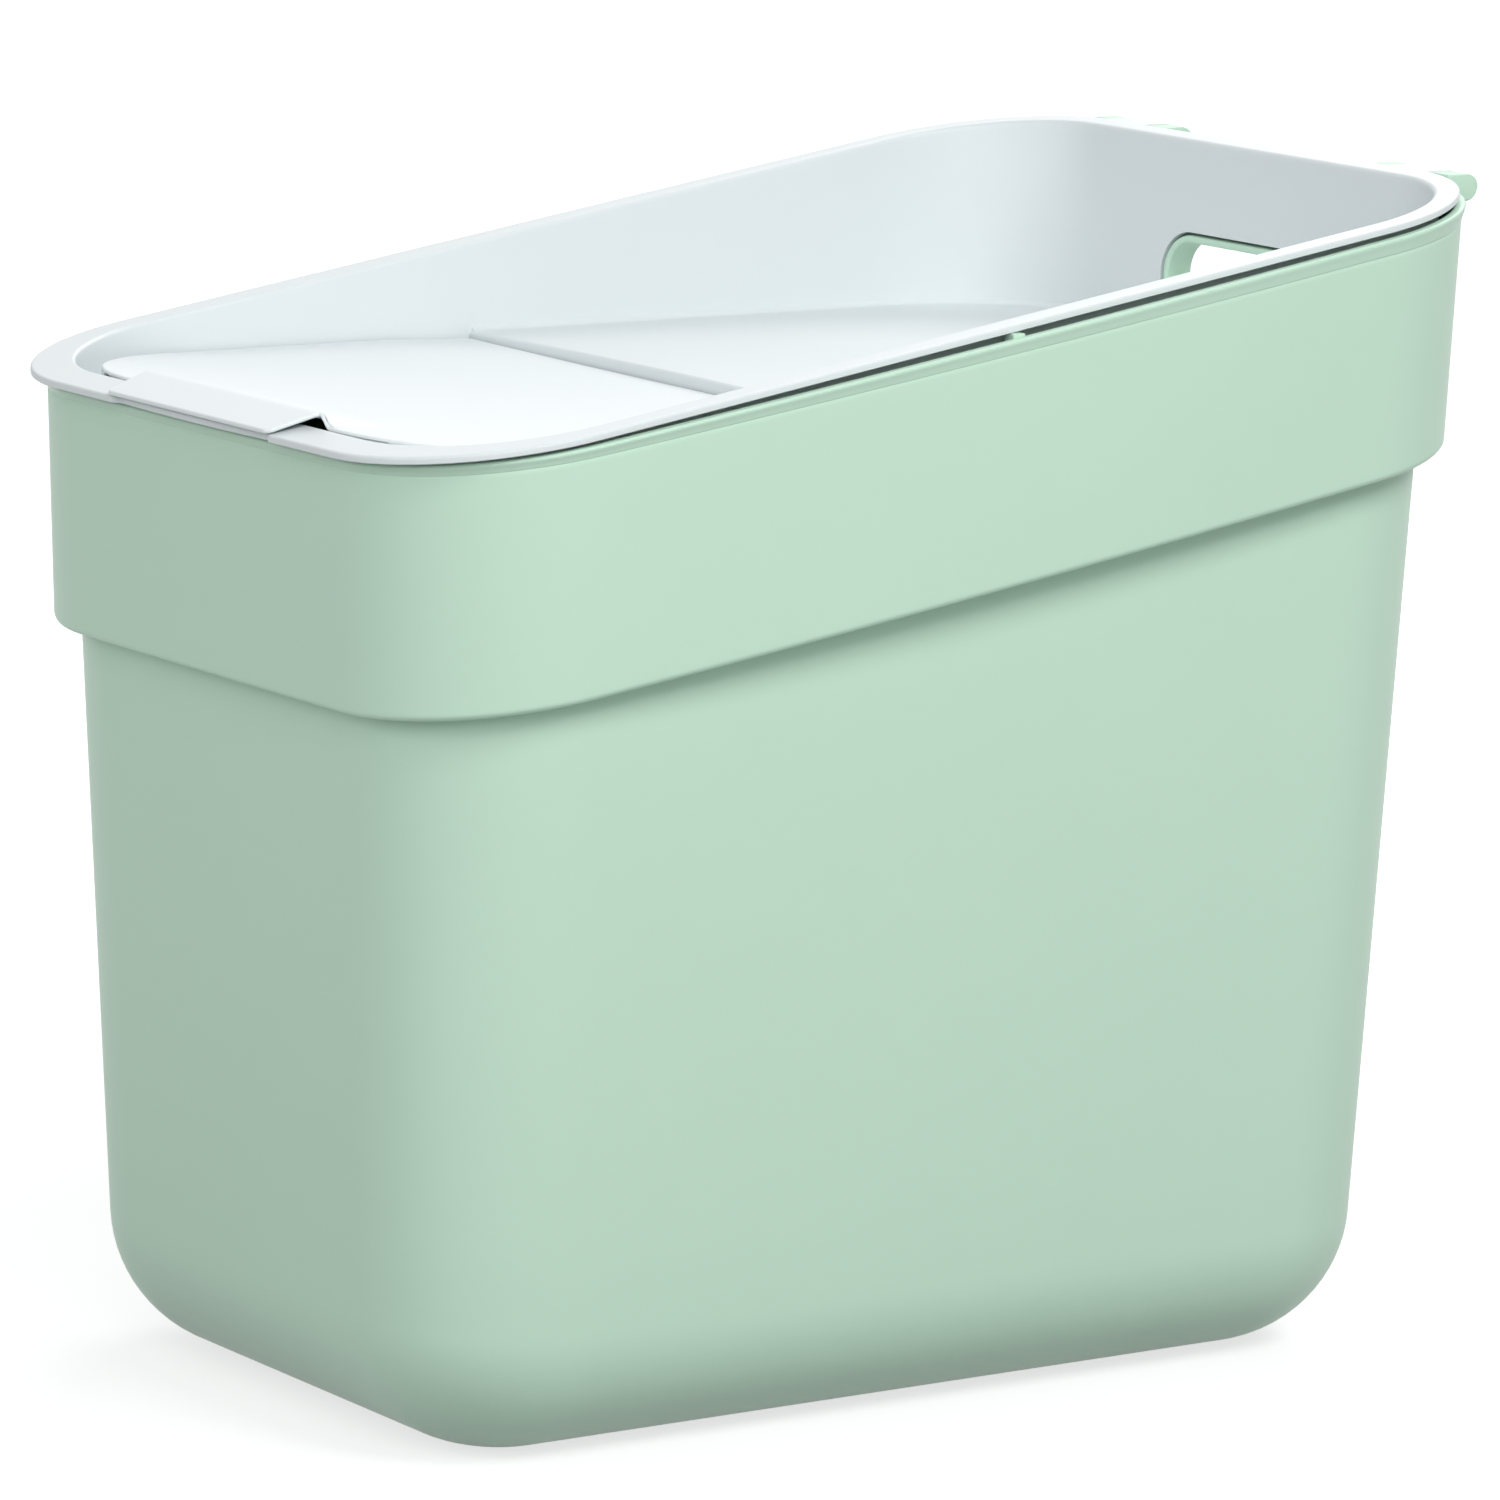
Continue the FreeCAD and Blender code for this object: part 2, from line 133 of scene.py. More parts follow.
# %% The rounded oblong
side_share = np.linspace(0, 1, 15)[:-1]
corner_share = np.linspace(0, 1, 25)[:-1]
end_share = np.concatenate([np.linspace(0, 0.36, 7), np.linspace(0.4, 0.5, 15), np.linspace(0.54, 1, 9)])
SHARE = np.concatenate([side_share, corner_share, end_share])
STRETCH = np.concatenate([np.full(len(side_share), 0), np.full(len(corner_share), 1),
                          np.full(len(end_share), 2)])
QUARTER = len(SHARE) - 1
ORDER = np.concatenate([np.arange(QUARTER), np.arange(QUARTER, 0, -1)] * 2)
SIGN_X = np.repeat([1, -1, -1, 1], QUARTER)
SIGN_Y = np.repeat([1, 1, -1, -1], QUARTER)
AROUND = 4 * QUARTER


def oblong(side, front, rear, radius, side_bow, end_bow):
    """Points round a rounded oblong, anticlockwise from above, starting at the middle of the +X side.

    A side of half length b with a bow s is an arc of radius (b*b + s*s) / 2s, an end likewise. The
    corner arc of the given radius touches both from inside, so its centre is where a circle of
    radius (side radius - corner radius) meets a circle of radius (end radius - corner radius).
    """
    half_y = (rear - front) / 2
    side_bow = np.maximum(side_bow, 0.01)
    end_bow = np.maximum(end_bow, 0.01)
    side_r = (half_y ** 2 + side_bow ** 2) / (2 * side_bow)
    end_r = (side ** 2 + end_bow ** 2) / (2 * end_bow)
    side_x = side - side_r
    end_y = half_y - end_r
    reach_side = side_r - radius
    reach_end = end_r - radius
    span = np.hypot(side_x, end_y)
    along = (reach_side ** 2 - reach_end ** 2 + span ** 2) / (2 * span)
    across = np.sqrt(reach_side ** 2 - along ** 2)
    centre_x = side_x - along * side_x / span - across * end_y / span
    centre_y = along * end_y / span - across * side_x / span
    side_angle = np.arctan2(centre_y, centre_x - side_x)
    end_angle = np.arctan2(centre_y - end_y, centre_x)
    share, stretch = SHARE[ORDER], STRETCH[ORDER]
    angle = np.where(stretch == 0, share * side_angle,
                     np.where(stretch == 1, side_angle + share * (end_angle - side_angle),
                              end_angle + share * (np.pi / 2 - end_angle)))
    arc_r = np.where(stretch == 0, side_r, np.where(stretch == 1, radius, end_r))
    arc_x = np.where(stretch == 0, side_x, np.where(stretch == 1, centre_x, 0.0))
    arc_y = np.where(stretch == 0, 0.0, np.where(stretch == 1, centre_y, end_y))
    x = SIGN_X * (arc_x + arc_r * np.cos(angle))
    y = (front + rear) / 2 + SIGN_Y * (arc_y + arc_r * np.sin(angle))
    return x, y


print("points round each ring", AROUND)

# %% [markdown]
# ## From rings to a mesh
# A wall is a stack of rings. Each ring says how far it stands inside the wall's face, and how high
# it is: level like the base, following the sloping rim, or part of the way between the two.
# Because the walls lean, the width of a ring depends on its height and the height on its place
# along the slope, so the two are worked out in turn a few times until they agree.

# %% Helpers that turn grids into objects
MM = 0.001


def smooth(t):
    """Smooth step from 0 to 1: three t squared less two t cubed, with t kept between 0 and 1."""
    t = np.clip(t, 0.0, 1.0)
    return t * t * (3 - 2 * t)


def columns(rows):
    """The columns of a table of rings, each shaped to act on whole rings at once."""
    return [np.array(column, float)[:, None] for column in zip(*rows)]


def grid_faces(count_v, count_u, closed_v=False, closed_u=True):
    """Quads between neighbours of a grid whose point (v, u) has the number v * count_u + u."""
    v = np.arange(count_v if closed_v else count_v - 1)[:, None]
    u = np.arange(count_u if closed_u else count_u - 1)[None, :]
    v_next, u_next = (v + 1) % count_v, (u + 1) % count_u
    quads = np.stack([v * count_u + u, v * count_u + u_next, v_next * count_u + u_next,
                      v_next * count_u + u], -1)
    return quads.reshape(-1, 4)


def cap(first, count, middle):
    """Triangles from the ring of points that starts at first to one middle point."""
    ring = first + np.arange(count)
    return np.stack([ring, np.roll(ring, -1), np.full(count, middle)], -1)


def make_object(name, points, faces, sharp=35.0):
    """Mesh object from points in millimetres: faces turned outwards, smooth below the sharp angle."""
    mesh = bpy.data.meshes.new(name)
    mesh.from_pydata(points.reshape(-1, 3) * MM, [], [row for part in faces for row in part.tolist()])
    work = bmesh.new()
    work.from_mesh(mesh)
    bmesh.ops.remove_doubles(work, verts=work.verts, dist=1e-6)
    bmesh.ops.recalc_face_normals(work, faces=work.faces)
    work.to_mesh(mesh)
    work.free()
    mesh.polygons.foreach_set("use_smooth", np.ones(len(mesh.polygons), bool))
    mesh.set_sharp_from_angle(angle=math.radians(sharp))
    made = bpy.data.objects.new(name, mesh)
    bpy.context.scene.collection.objects.link(made)
    return made


def cut_through(target, cutter):
    """Takes the cutter's volume out of the target for good, and removes the cutter."""
    tool = target.modifiers.new("cut", "BOOLEAN")
    tool.operation = "DIFFERENCE"
    tool.solver = "EXACT"
    tool.object = cutter
    seen = target.evaluated_get(bpy.context.evaluated_depsgraph_get())
    result = bpy.data.meshes.new_from_object(seen)
    target.modifiers.clear()
    target.data = result
    bpy.data.objects.remove(cutter)
    result.polygons.foreach_set("use_smooth", np.ones(len(result.polygons), bool))
    result.set_sharp_from_angle(angle=math.radians(35.0))


def bend(radius, start, end, steps):
    """Points of an arc as (sine, cosine) shares of its radius, from a start to an end angle."""
    angle = np.radians(np.linspace(start, end, steps))
    return radius * np.sin(angle), radius * np.cos(angle)


print("helpers ready")

# %% [markdown]
# ## The tub's profile
# Followed from the middle of the underside, the wall goes out along the base, round the big base
# edge, up the body, out under the collar, up to the bead and over the rim, and then back down the
# inside to the floor of the tub. As one closed skin it has a real wall thickness, so the inside is
# right when the lid is open. Extra rings beside each small fillet keep its shading off the big flat
# walls.

# %% Rings of the tub
# Each row: scale about the middle, collar share, inset, level height, drop under the rim, tilt share
DRAFT = math.radians(2.1)


def base_rows(radius, skin, floor, angles):
    """Rings of a base edge that rolls from the floor into a leaning wall.

    At the turn angle a the height is r (1 - cos a) and the inset r (1 - sin(a + draft)) / cos(draft).
    """
    turned = np.radians(angles)
    inset = skin + radius * (1 - np.sin(turned + DRAFT)) / math.cos(DRAFT)
    return [(1, 0, i, z, 0, 0) for i, z in zip(inset, floor + radius * (1 - np.cos(turned)))]


turns = np.linspace(0, 90 - math.degrees(DRAFT), 19)
outer_base = base_rows(41.0, 0.0, 0.0, turns)
flat = outer_base[0]
rows = [(scale, 0, flat[2], 0, 0, 0) for scale in (0.0, 0.3, 0.6, 0.85, 0.96)] + outer_base
rows += [(1, 0, 0, 60, -75.5, share) for share in (0.04, 0.1, 0.3, 0.5, 0.7, 0.85, 0.95, 1)]
rise, run = bend(0.6, 0, 90, 5)
rows += [(1, 0, -(0.6 - c), 0, -72.4 + s, 1) for s, c in zip(rise, run)]
rows += [(1, 0.45, 0.9, 0, -72.2, 1)]
rise, run = bend(2.0, 0, 90, 9)
rows += [(1, 1, 2.0 - s, 0, -71.3 - c, 1) for s, c in zip(rise, run)]
rows += [(1, 1, 0, 0, drop, 1) for drop in (-70.6, -64, -50, -36, -22, -12, -8, -6.95)]
rows += [(1, 1, 0.1, 0, -6.62, 1), (1, 1, 0.12, 0, -6.4, 1), (1, 1, -0.05, 0, -6.2, 1),
         (1, 1, -0.15, 0, -5.9, 1), (1, 1, -0.3, 0, -5.4, 1), (1, 1, -0.6, 0, -4.9, 1),
         (1, 1, -0.86, 0, -4.5, 1)]
rise, run = bend(0.8, 0, 90, 6)
rows += [(1, 1, -(0.16 + c), 0, -4.15 + s, 1) for s, c in zip(rise, run)]
rows += [(1, 1, 0.1, 0, -3.35, 1), (1, 1, 1.5, 0, -3.35, 1)]
rise, run = bend(0.5, 0, 90, 4)
rows += [(1, 1, 1.7 + s, 0, -3.85 + c, 1) for s, c in zip(rise, run)]
rows += [(1, 1, WALL, 0, drop, 1) for drop in (-4.6, -9, -25, -50, -66, -69.7)]
rows += [(1, 1, 2.5, 0, -70.6, 1), (1, 1, 3.4, 0, -70.9, 1), (1, 0.45, 3.6, 0, -70.9, 1),
         (1, 0, 1.3, 0, -70.9, 1), (1, 0, 2.0, 0, -71.2, 1), (1, 0, WALL, 0, -72.1, 1)]
rows += [(1, 0, WALL, 60, -75.5, share) for share in (0.96, 0.85, 0.7, 0.5, 0.3, 0.1, 0.04)]
inner_base = base_rows(38.8, WALL, WALL, turns[::-1])
rows += inner_base
flat = inner_base[-1]
rows += [(scale, 0, flat[2], WALL, 0, 0) for scale in (0.96, 0.85, 0.6, 0.3, 0.0)]


def stack_rings(table):
    """Points of the tub's rings: the plan is a blend of body and collar, and the height a blend of a
    level and the sloping rim, solved together by repeating. The bead's lower line drifts down by
    2 mm from the front to the rear."""
    scale, collar, inset, level, drop, tilt = columns(table)
    drift = 2.0 * np.interp(drop, [-12.0, -8.0, -6.0, -4.3], [0.0, 0.9, 1.0, 0.0]) * (inset < 0.5)
    z = np.broadcast_to(level + tilt * 300.0, (len(table), AROUND))
    for _ in range(5):
        plan = [(1 - collar) * body + collar * outer for body, outer in zip(body_plan(z), collar_plan(z))]
        radius = BODY_CORNER + (COLLAR_CORNER - BODY_CORNER) * collar - inset
        x, y = oblong(plan[0] - inset, plan[1] + inset, plan[2] - inset, radius, 6.1 * collar, 0.5 * collar)
        lower = drift * (y - FLANGE[1]) / (FLANGE[2] - FLANGE[1])
        z = (1 - tilt) * level + tilt * (rim_level(y) + drop - lower)
    return np.stack([x * scale, y * scale, z + 0 * x], -1)


tub_points = stack_rings(rows)
tub = make_object("tub_shell", tub_points, [grid_faces(len(rows), AROUND)])
print("tub rings", len(rows), "triangles about", 2 * len(tub.data.polygons))

# %% [markdown]
# ## The hand slot
# The rear wall has an oblong hole for the fingers. A moulder gives it a sleeve, so that no sharp
# wall edge meets the hand. The hole is cut with a boolean, because it crosses many quads, and the
# sleeve is a small profile carried round the same oblong.

# %% Cut the slot and line it with its sleeve
SLOT_Z = 299.44
HALF_RUN = 24.0
SLEEVE_OUTER, SLEEVE_INNER = 13.0, 10.8
turn_in = np.linspace(-90, 90, 25)
slot_angle = np.radians(np.concatenate([turn_in, turn_in + 180]))
slot_centre = np.where(np.arange(50) < 25, HALF_RUN, -HALF_RUN)


def round_slot(reach, y):
    """Points round an oblong with half-round ends in the rear wall, one ring for each reach and place."""
    reach = np.array(reach, float)[:, None]
    y = np.array(y, float)[:, None]
    x = slot_centre + reach * np.cos(slot_angle)
    z = SLOT_Z + reach * np.sin(slot_angle)
    return np.stack([x, y + 0 * x, z], -1)


def slot_cutter(reach, start, end):
    """Closed prism of the slot's shape between two places along Y."""
    middle = np.array([[[0, start, SLOT_Z]], [[0, end, SLOT_Z]]], float)
    walls = round_slot([reach, reach], [start, end])
    points = np.concatenate([walls.reshape(-1, 3), middle.reshape(-1, 3)])
    faces = [grid_faces(2, 50), cap(0, 50, 100), cap(50, 50, 101)]
    return make_object("cutter", points, faces)


TUB_HOLE, WELL_HOLE = 11.9, 14.0
cut_through(tub, slot_cutter(TUB_HOLE, 165, 195))
y_near, y_far, soft = 173.1, 182.4, 0.8
sleeve_s, sleeve_c = bend(soft, 0, 90, 5)
reach = np.concatenate([SLEEVE_OUTER - soft + sleeve_s, SLEEVE_OUTER - soft + sleeve_c,
                        SLEEVE_INNER + soft - sleeve_s, SLEEVE_INNER + soft - sleeve_c])
place = np.concatenate([y_near + soft - sleeve_c, y_far - soft + sleeve_s, y_far - soft + sleeve_c,
                        y_near + soft - sleeve_s])
slot_sleeve = make_object("slot_sleeve", round_slot(reach, place), [grid_faces(20, 50, closed_v=True)])
print("slot", 2 * (HALF_RUN + SLEEVE_INNER), "by", 2 * SLEEVE_INNER, "mm")

# %% [markdown]
# ## Hinge ears, tongues and pads
# Behind the rear wall each hinge has two green ears with a white tongue between them. Seen from the
# side each is a short bar with a round end, so a side outline is drawn once and carried along X.
# The slices near each end are drawn in a little, which rounds the edges as on the real moulding.

# %% Bars that are one outline carried along X
HINGE_Y, HINGE_Z = 189.21, 338.0


def bar(name, outline_yz, start, end, edge):
    """Closed bar: an outline in Y and Z, moved along X, with a quarter-round of the given edge.

    Each point moves in along its own outward normal by edge (1 - cos a) while X moves by edge (1 - sin a).
    """
    ring = np.array(outline_yz, float)
    ahead = np.roll(ring, -1, 0) - np.roll(ring, 1, 0)
    ahead /= np.linalg.norm(ahead, axis=1)[:, None]
    normal = np.stack([ahead[:, 1], -ahead[:, 0]], -1)
    area = np.sum(ring[:, 0] * np.roll(ring[:, 1], -1) - np.roll(ring[:, 0], -1) * ring[:, 1])
    normal *= np.sign(area)
    s, c = bend(edge, 0, 90, 5)
    inset = np.concatenate([edge - s, edge - c])
    x = np.concatenate([start + edge - c, end - edge + s])
    slices = ring[None] - inset[:, None, None] * normal[None]
    points = np.concatenate([np.broadcast_to(x[:, None, None], slices.shape[:2] + (1,)), slices], -1)
    count = len(ring)
    ends = [np.arange(count)[None, ::-1], (9 * count + np.arange(count))[None]]
    return make_object(name, points, [grid_faces(10, count)] + ends)


def arc_yz(centre, radius, start, end, steps):
    """Points of a circle in the Y Z plane: the centre plus radius times (cosine, sine)."""
    angle = np.radians(np.linspace(start, end, steps))
    return list(zip(centre[0] + radius * np.cos(angle), centre[1] + radius * np.sin(angle)))


# The top half of an ear is a little flatter than round.
EAR_RADIUS, EAR_FLATNESS, EAR_ROOT = 4.28, 0.87, 179.6
ear_round = [(EAR_ROOT, HINGE_Z - EAR_RADIUS)] + arc_yz((HINGE_Y, HINGE_Z), EAR_RADIUS, -90, 90, 25)
ear_side = [(y, z if z < HINGE_Z else HINGE_Z + (z - HINGE_Z) * EAR_FLATNESS) for y, z in ear_round]
ear_side += arc_yz((182.9, 340.93), 0.8, 90, 180, 5) + [(182.1, 338.4), (EAR_ROOT, 338.4)]
ears = []
for side in (-1, 1):
    for near, far in ((58.6, 50.6), (77.4, 85.4)):
        ends = sorted((side * near, side * far))
        ears.append(bar(f"ear_{len(ears) + 1}", ear_side, ends[0], ends[1], 0.7))

tongue_side = [(177.0, rim_level(177.0) - 2.1), (177.0, rim_level(177.0) - 0.03), (180.4, 341.95)]
tongue_side += arc_yz((HINGE_Y, HINGE_Z), 3.97, 90, -203, 37)
TONGUE_X, TONGUE_HALF = 68.0, 9.0
tongues = []
for side in (-1, 1):
    start, end = side * TONGUE_X - TONGUE_HALF, side * TONGUE_X + TONGUE_HALF
    tongues.append(bar(f"tongue_{len(tongues) + 1}", tongue_side, start, end, 0.4))

PAD_RUN, PAD_SOFT, PAD_DEPTH = 1.5, 0.5, 7.0
PAD_NEAR, PAD_FAR = 123.2, 127.6
pad_top = rim_level(0) - 2.4
pad_side = arc_yz((PAD_RUN, pad_top - PAD_SOFT), PAD_SOFT, 90, 0, 4)
pad_side += arc_yz((PAD_RUN, pad_top - PAD_DEPTH), PAD_SOFT, 0, -90, 4)
pad_side += arc_yz((-PAD_RUN, pad_top - PAD_DEPTH), PAD_SOFT, 270, 180, 4)
pad_side += arc_yz((-PAD_RUN, pad_top - PAD_SOFT), PAD_SOFT, 180, 90, 4)
pads = []
for side in (-1, 1):
    ends = sorted((side * PAD_NEAR, side * PAD_FAR))
    pads.append(bar(f"rim_pad_{len(pads) + 1}", pad_side, ends[0], ends[1], 0.3))
print("ears", len(ears), "tongues", len(tongues), "pads", len(pads))

# %% [markdown]
# ## The lid frame
# The white frame is one ring: a flat flange that follows the slope, a soft inner edge, and a well
# wall down to a narrow ledge that the flap rests on. Its profile is a closed loop, so carried round
# the oblong it makes a solid with the right thickness everywhere. The flange steps back at the front
# where the lift tab comes down over it.

# %% Rings of the lid frame
# Each row: well share, inset, level height, drop under the rim, tilt share, notch share, ledge share
LEDGE = 277.4
s, c = bend(0.7, 0, 90, 5)
ring = [(0, 0, 0, -1.85, 1, 1, 0), (0, 0, 0, -1.2, 1, 1, 0)]
ring += [(0, 0.7 - cc, 0, -0.7 + ss, 1, 1, 0) for ss, cc in zip(s, c)]
ring += [(0, 1.1, 0, 0, 1, 1, 0), (0, 2.2, 0, 0, 1, 0.9, 0), (0, 3.6, 0, 0, 1, 0.5, 0),
         (1, -2.6, 0, 0, 1, 0, 0), (1, -1.7, 0, 0, 1, 0, 0)]
s, c = bend(1.2, 0, 90, 6)
ring += [(1, -1.2 + ss, 0, -1.2 + cc, 1, 0, 0) for ss, cc in zip(s, c)]
ring += [(1, 0, 0, -2.0, 1, 0, 0)]
ring += [(1, 0, LEDGE + 1.2, -3.0, share, 0, 0) for share in (0.95, 0.8, 0.6, 0.4, 0.2, 0.05, 0)]
ring += [(1, 0.15, LEDGE + 0.5, 0, 0, 0, 0), (1, 0.5, LEDGE + 0.15, 0, 0, 0, 0),
         (1, 1.2, LEDGE, 0, 0, 0, 0), (1, 0, LEDGE, 0, 0, 0, 0.9), (1, 0, LEDGE - 0.3, 0, 0, 0, 1),
         (1, 0, LEDGE - 1.7, 0, 0, 0, 1), (1, 0, LEDGE - 2, 0, 0, 0, 0.9), (1, -1.4, LEDGE - 2, 0, 0, 0, 0),
         (1, -1.9, LEDGE - 1.5, 0, 0, 0, 0)]
ring += [(1, -1.9, LEDGE, -3.6, share, 0, 0) for share in (0.1, 0.35, 0.65, 0.9, 1)]
ring += [(1, -2.1, 0, -2.7, 1, 0, 0), (1, -2.9, 0, -2.15, 1, 0, 0), (0, 2.4, 0, -2.15, 1, 0.8, 0),
         (0, 0.4, 0, -2.15, 1, 1, 0)]
well, inset, level, drop, tilt, notch, shelf = columns(ring)
z = np.broadcast_to(level + tilt * 300.0, (len(ring), AROUND))
depth = inset + 0 * z
for _ in range(5):
    plan = [(1 - well) * outer + well * inner for outer, inner in zip(flange_plan(z), well_plan(z))]
    radius = FLANGE_CORNER + (WELL_CORNER - FLANGE_CORNER) * well - depth
    x, y = oblong(plan[0] - depth, plan[1] + depth, plan[2] - depth, radius,
                  0.8 * (1 - well), 0.5 * (1 - well))
    z = (1 - tilt) * level + tilt * (rim_level(y) + drop)
    depth = inset + shelf * (0.3 + 8.7 * smooth((-31.0 - y) / 5.0))
middle = 1 - np.clip(x / 41.0, -1, 1) ** 2
step_back = (2.0 - 1.2 * middle) * (1 - smooth((np.abs(x) - 39.5) / 3.2)) * (y < 0) * notch
y = y + step_back
lid_ring = make_object("lid_ring", np.stack([x, y, z], -1), [grid_faces(len(ring), AROUND, closed_v=True)])
cut_through(lid_ring, slot_cutter(WELL_HOLE, 166, 179))
print("lid frame rings", len(ring))

# %% [markdown]
# ## The rear deck
# Behind the flap the well has a fixed floor. It bulges up a little across the bin, steps down at its
# front edge, and runs into the walls with a soft fillet. It is one side profile, stretched at each
# place to the width that the well has there, so that it fills the rounded rear corners too.

# %% The deck and its step
RISER_Y, DECK_Z = -22.09, 282.9
well_half, _, rear_wall = well_plan(DECK_Z)

deck_y = np.concatenate([RISER_Y + 1.4 + np.array([0, 1.5, 6, 20, 45, 75, 105, 125]),
                         rear_wall - WELL_CORNER + 45.9 * np.sin(np.radians(np.linspace(0, 88, 30)))])
s, c = bend(1.1, 0, 90, 7)
top_y = np.concatenate([deck_y[::-1], RISER_Y + 1.1 - s, np.full(3, RISER_Y)])
top_z = np.concatenate([0 * deck_y, c - 1.1, [-2.5, -5.0, -7.4]])
slab_y = np.concatenate([top_y, np.maximum(top_y, RISER_Y + 2.2)[::-1]])
slab_z = np.concatenate([top_z, np.minimum(top_z, -2.2)[::-1]])
into = np.clip(slab_y - (rear_wall - WELL_CORNER), 0.0, WELL_CORNER)
half = (well_half - WELL_CORNER + np.sqrt(WELL_CORNER ** 2 - into ** 2) + 0.9)[:, None]
x = half * np.sin(np.linspace(-1, 1, 81) * np.pi / 2)[None]
y = slab_y[:, None] + 0 * x
crown = 1.5 * (1 - np.clip(x / well_half, -1, 1) ** 2) * (slab_z[:, None] > -2.3)
past_x, past_y = np.abs(x) - well_half + WELL_CORNER, y - rear_wall + WELL_CORNER
to_wall = WELL_CORNER - np.hypot(np.maximum(past_x, 0), np.maximum(past_y, 0)) - np.minimum(
    np.maximum(past_x, past_y), 0)
swell = 2.4
fillet = swell - np.sqrt(swell ** 2 - np.clip(swell - to_wall, 0, swell * 0.92) ** 2)
z = DECK_Z + slab_z[:, None] + crown + fillet * (slab_z[:, None] > -0.01)
points = np.stack([x, y, z], -1).transpose(1, 0, 2)
loop = len(slab_y)
step = np.arange(len(top_y) - 1)
side = np.stack([step, step + 1, loop - 2 - step, loop - 1 - step], -1)
deck = make_object("rear_deck", points, [grid_faces(81, loop), side, side[:, ::-1] + 80 * loop])
print("deck half width", round(float(half.max()), 1), "mm")

# %% [markdown]
# ## A shell with a round edge
# The flap and the lip of its tab are thin shells with a flat-ish top. Their top is a grid that fills
# an outline, and from its border a few rings roll over the edge, go down the skirt and come back up
# inside, to a second grid that is the underside. One function makes both pieces.

# %% Shells
def shell(name, row_y, row_half, across, top, rings, thick, hem=lambda x, y: 1.0):
    """Closed shell: a top grid, rings round its border, and an underside grid.

    Grid: x is the row's half width times the column's share, z is top(x, y). A ring stands out from
    the border along its normal by its first number, and its height is top less its second number,
    blended by its third number times hem(x, y) towards a level that is its fourth. Underside: top
    less thick.
    """
    rows_n, cols_n = len(row_y), len(across)
    x = row_half[:, None] * across[None]
    y = row_y[:, None] + 0 * x
    z = top(x, y)
    down = np.arange(rows_n - 1)
    side = np.arange(cols_n - 1)
    loop_row = np.concatenate([down, np.full(cols_n - 1, rows_n - 1), down[::-1] + 1,
                               np.zeros(cols_n - 1, int)])
    loop_col = np.concatenate([0 * down, side, np.full(rows_n - 1, cols_n - 1), side[::-1] + 1])
    border = np.stack([x[loop_row, loop_col], y[loop_row, loop_col], z[loop_row, loop_col]], -1)
    ahead = np.roll(border, -1, 0)[:, :2] - np.roll(border, 1, 0)[:, :2]
    ahead /= np.linalg.norm(ahead, axis=1)[:, None]
    normal = np.stack([ahead[:, 1], -ahead[:, 0]], -1)
    out, below, share, level = (np.array(col, float)[:, None] for col in zip(*rings))
    ring_xy = border[None, :, :2] + out[..., None] * normal[None]
    share = share * hem(border[None, :, 0], border[None, :, 1])
    ring_z = (1 - share) * (border[None, :, 2] - below) + share * level
    upper = np.stack([x, y, z], -1).reshape(-1, 3)
    lower = np.stack([x, y, z - thick], -1).reshape(-1, 3)
    middle = np.concatenate([ring_xy, ring_z[..., None]], -1).reshape(-1, 3)
    loop = len(border)
    first = len(upper)
    numbers = np.concatenate([(loop_row * cols_n + loop_col)[None],
                              first + np.arange(len(rings) * loop).reshape(len(rings), loop),
                              (first + len(middle) + loop_row * cols_n + loop_col)[None]])
    after = np.roll(numbers, -1, 1)
    strips = np.stack([numbers[:-1], after[:-1], after[1:], numbers[1:]], -1).reshape(-1, 4)
    sheet = grid_faces(rows_n, cols_n, closed_u=False)
    faces = [sheet[:, ::-1], strips, sheet + first + len(middle)]
    return make_object(name, np.concatenate([upper, middle, lower]), faces, sharp=50.0)


print("shell maker ready")

# %% [markdown]
# ## The front flap
# The flap's top is nearly flat. It is a little lower in the middle at its hinge, and rises towards
# the front, where it swells up into the lift tab. Those swells are sums of smooth steps in x and y,
# which need no sculpting and give the same flap each time.

# %% The flap and its tab
FLAP_FRONT, FLAP_REAR, FLAP_HALF = -173.17, -22.89, 116.05
CREST_Y, CREST_Z = -173.4, 288.9
EDGE = 0.7
FLAP_CORNER = 61.0


def flap_top(x, y):
    """Height of the flap: a hinge level, a soft rise behind it and a longer rise to the front, less a
    shallow dish near the hinge, plus the swell of the tab."""
    near = 1.1 * smooth((-y - 25) / 30)
    t = np.clip((-y - 110) / 63, 0, 1.05)
    rise = 2.9 * (1.6 * t ** 2 - 0.6 * t ** 3)
    dish = 0.5 + 0.7 * smooth((-y - 25) / 25)
    dish = dish * (1 - smooth((-y - 60) / 70)) * (1 - (x / 117.0) ** 2)
    ramp = np.clip((-149.5 - y) / 23.9, 0, 1)
    swell = 3.6 * ramp ** 2 * (1.6 - 0.6 * ramp) * (1 - smooth((np.abs(x) - 46.2) / 5.0))
    return 281.3 + near + rise - dish + swell


corner = np.radians(np.linspace(0, 90, 34))
rear_corner = np.radians(np.linspace(90, 0, 6))
big, small = FLAP_CORNER - EDGE, 2.0
half = FLAP_HALF - EDGE
straight = np.linspace(FLAP_REAR - EDGE - small, FLAP_FRONT + FLAP_CORNER, 26)[1:-1]
flap_y = np.concatenate([FLAP_REAR - EDGE - small + small * np.sin(rear_corner), straight,
                         FLAP_FRONT + FLAP_CORNER - big * np.sin(corner)])
flap_half = np.concatenate([half - small + small * np.cos(rear_corner), 0 * straight + half,
                            half - big + big * np.cos(corner)])
